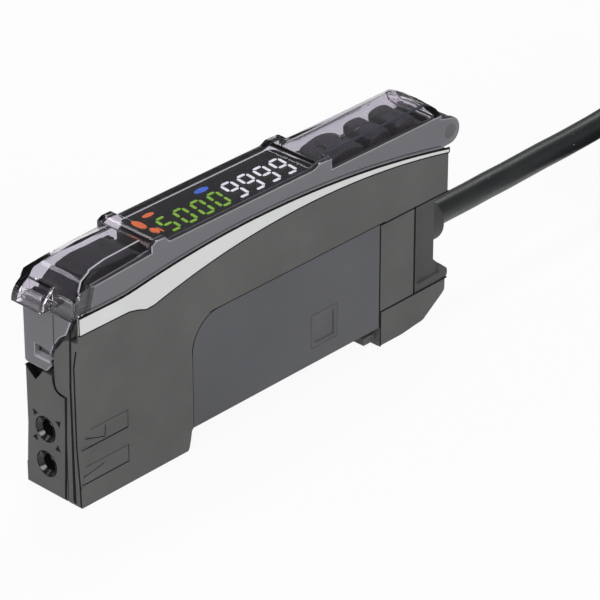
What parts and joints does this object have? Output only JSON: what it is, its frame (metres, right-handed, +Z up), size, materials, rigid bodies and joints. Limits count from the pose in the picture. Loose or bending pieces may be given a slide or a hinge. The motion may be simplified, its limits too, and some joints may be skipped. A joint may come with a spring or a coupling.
{
  "type": "fibre optic sensor amplifier",
  "caption": "Slim rail-mount fibre optic sensor amplifier with two fibre ports, a digital display and buttons under a hinged smoked cover, and a rear lead.",
  "frame": {"origin": "under the middle of the unit, at the underside of its feet, the lead left out", "axes": "+X from the front with the fibre ports to the rear with the lead, +Z up"},
  "size_m": [0.2205, 0.0387, 0.033],
  "materials": {
    "case_plastic": "fine moulded texture",
    "dark_plastic": "satin",
    "stripe_plastic": "satin",
    "plate_film": "satin print film",
    "smoke_window": "polished",
    "clear_cover": "clear smoked moulding",
    "display_glass": "polished black",
    "lamp_resin": "diffusing",
    "board": "solder mask",
    "chip": "moulded",
    "tin": "plated",
    "spring_steel": "bright",
    "connector_white": "moulded",
    "core_insulation": "extruded",
    "lead_jacket": "smooth sheath"
  },
  "bodies": {
    "case": {"main_case": "case_plastic", "side_cover": "case_plastic", "front_block": "case_plastic", "stripe_near": "stripe_plastic", "stripe_far": "stripe_plastic", "name_plate": "plate_film", "signal_window_near": "smoke_window", "signal_window_far": "smoke_window", "top_deck": "dark_plastic", "display_window": "display_glass", "digit_module": "chip", "indicator_lamps": "lamp_resin", "display_board": "board", "tact_switches": "tin", "fibre_holder": "dark_plastic", "emitter_diode": "smoke_window", "receiver_diode": "smoke_window", "main_board": "board", "processor_chip": "chip", "storage_capacitor": "chip", "signal_diode_near": "smoke_window", "signal_diode_far": "smoke_window", "lead_connector": "connector_white", "lead_wires": "core_insulation", "hook_spring": "spring_steel", "cable_bush": "dark_plastic", "cable_tube": "lead_jacket", "cable_hank": "lead_jacket", "hank_ties": "dark_plastic", "cable_ends": "core_insulation"},
    "cover": {"protective_cover": "clear_cover"},
    "lever": {"lock_lever": "dark_plastic"},
    "clamp": {"fibre_clamp": "connector_white"},
    "rocker": {"level_rocker": "dark_plastic"},
    "tune": {"tune_button": "dark_plastic"},
    "mode": {"mode_button": "dark_plastic"},
    "hook": {"rail_hook": "case_plastic"}
  },
  "joints": [
    {"name": "cover_hinge", "type": "hinge", "parent": "case", "child": "cover", "pos_m": [0.0346, 0, 0.0278], "axis": [0, 1, 0], "range_deg": [0, 135]},
    {"name": "lever_hinge", "type": "hinge", "parent": "case", "child": "lever", "pos_m": [-0.0212, 0, 0.0293], "axis": [0, 1, 0], "range_deg": [0, 68]},
    {"name": "clamp_slide", "type": "slide", "parent": "case", "child": "clamp", "axis": [0, 0, 1], "range_m": [0, 0.0006]},
    {"name": "rocker_tilt", "type": "hinge", "parent": "case", "child": "rocker", "pos_m": [0.01638, 0, 0.0272], "axis": [0, 1, 0], "range_deg": [-3.5, 3.5], "stiffness_Nm_per_rad": 0.02},
    {"name": "tune_press", "type": "slide", "parent": "case", "child": "tune", "axis": [0, 0, -1], "range_m": [0, 0.00035], "stiffness_N_per_m": 400},
    {"name": "mode_press", "type": "slide", "parent": "case", "child": "mode", "axis": [0, 0, -1], "range_m": [0, 0.00035], "stiffness_N_per_m": 400},
    {"name": "hook_slide", "type": "slide", "parent": "case", "child": "hook", "axis": [1, 0, 0], "range_m": [0, 0.0018], "stiffness_N_per_m": 1500, "deforming": ["hook_spring"]}
  ],
  "couplings": [
    {"joint": "lever_hinge", "follows": "cover_hinge", "ratio": 0.5},
    {"joint": "clamp_slide", "follows": "cover_hinge", "m_per_rad": 0.0002546}
  ]
}
